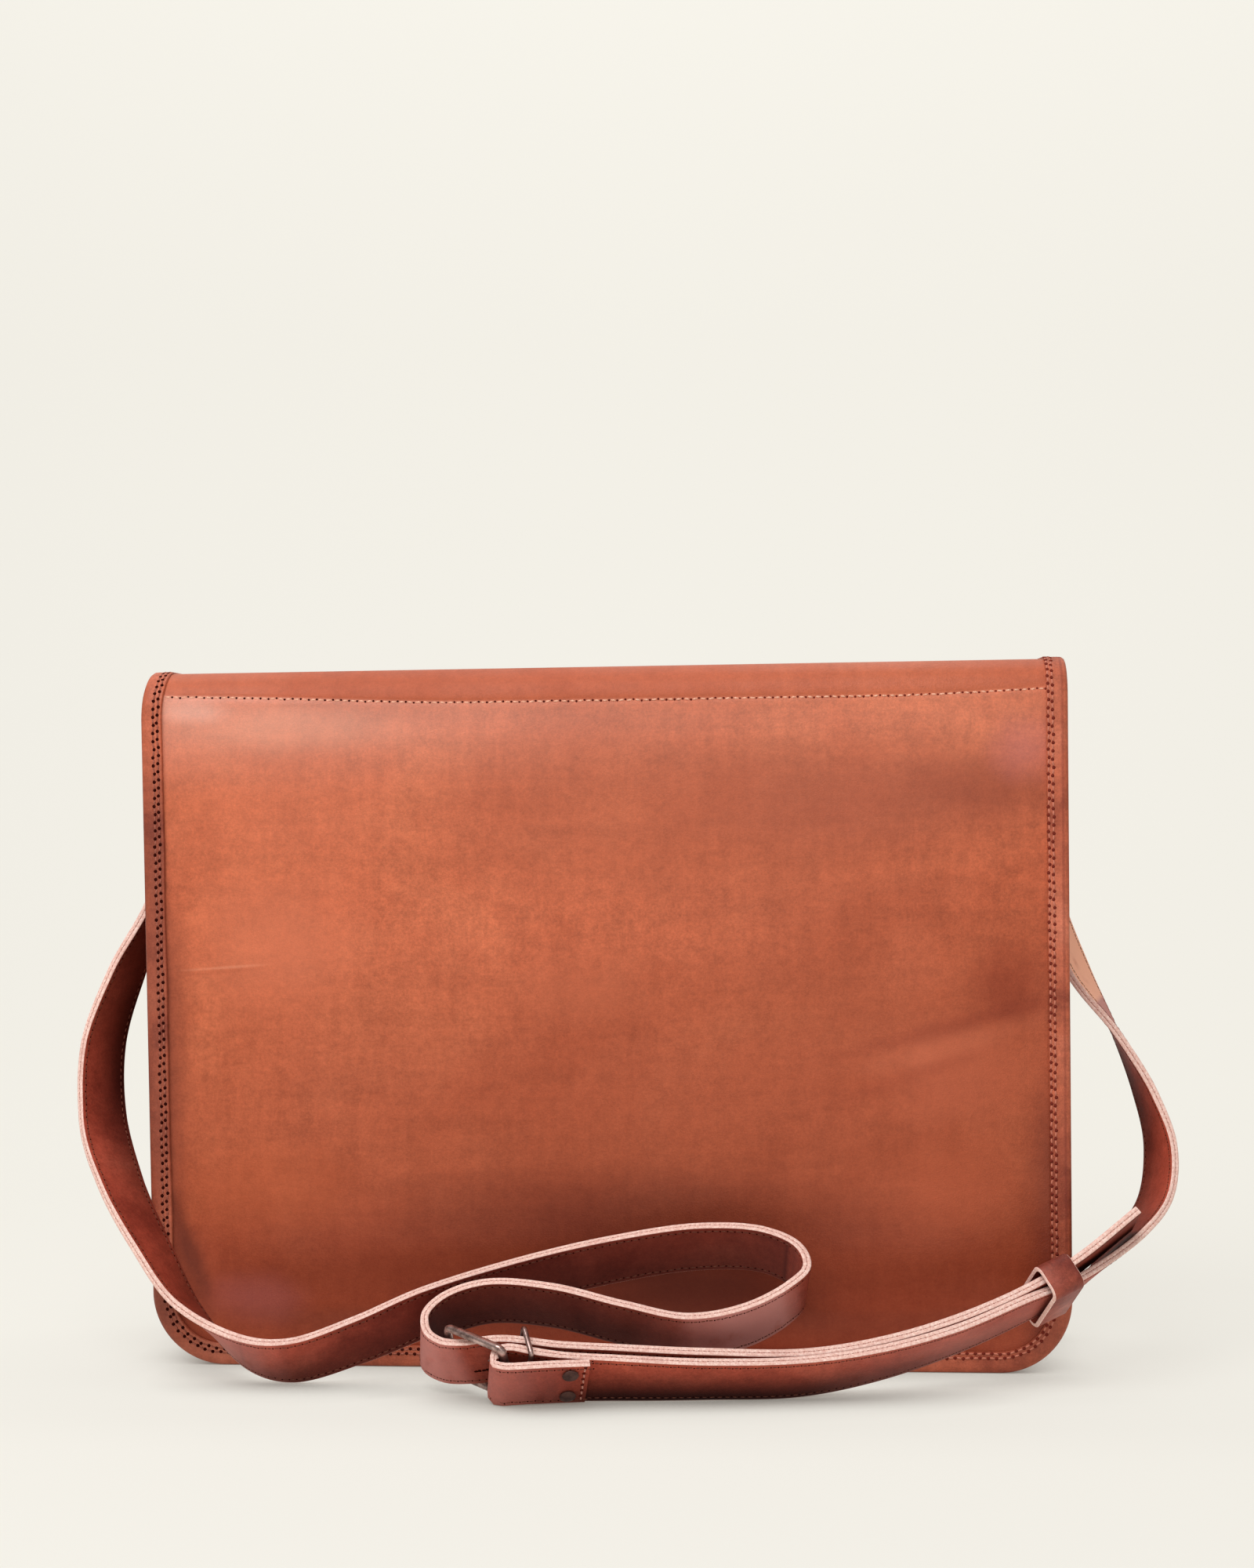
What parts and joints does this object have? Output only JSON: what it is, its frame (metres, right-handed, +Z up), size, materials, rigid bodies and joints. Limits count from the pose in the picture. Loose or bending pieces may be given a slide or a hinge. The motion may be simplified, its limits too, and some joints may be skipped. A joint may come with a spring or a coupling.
{
  "type": "laptop messenger bag",
  "caption": "Leather laptop bag with a full flap, bound seams and a buckled shoulder strap, standing on its base with the strap looped on the floor before its back panel",
  "frame": {"origin": "on the floor under the middle of the back seam, on the flat of the back edge binding", "axes": "+Z up; +X to the right as the back panel is seen; +Y from the back panel towards the front of the flap"},
  "size_m": [0.4956, 0.1933, 0.3154],
  "materials": {
    "hide": "smooth pull-up tan leather, soft sheen",
    "binding": "folded tan leather tape, burnished edge",
    "gusset": "tan leather, a little darker",
    "strap_outer": "tan strap leather with raw pale edges",
    "strap_inner": "brown strap lining leather with raw pale edges",
    "keeper": "tan leather band with raw pale edges",
    "metal": "aged bronze, brushed and dull"
  },
  "bodies": {
    "root": {"back_and_flap": "hide", "front_panel": "hide", "edge_binding": "binding", "front_binding": "binding", "gusset": "gusset", "long_strap_outer": "strap_outer", "long_strap_inner": "strap_inner", "short_strap_outer": "strap_outer", "short_strap_inner": "strap_inner", "keeper": "keeper", "buckle_frame": "metal", "buckle_prong": "metal", "wire_keeper": "metal", "tab_rivet_upper": "metal", "tab_rivet_lower": "metal"}
  },
  "joints": []
}
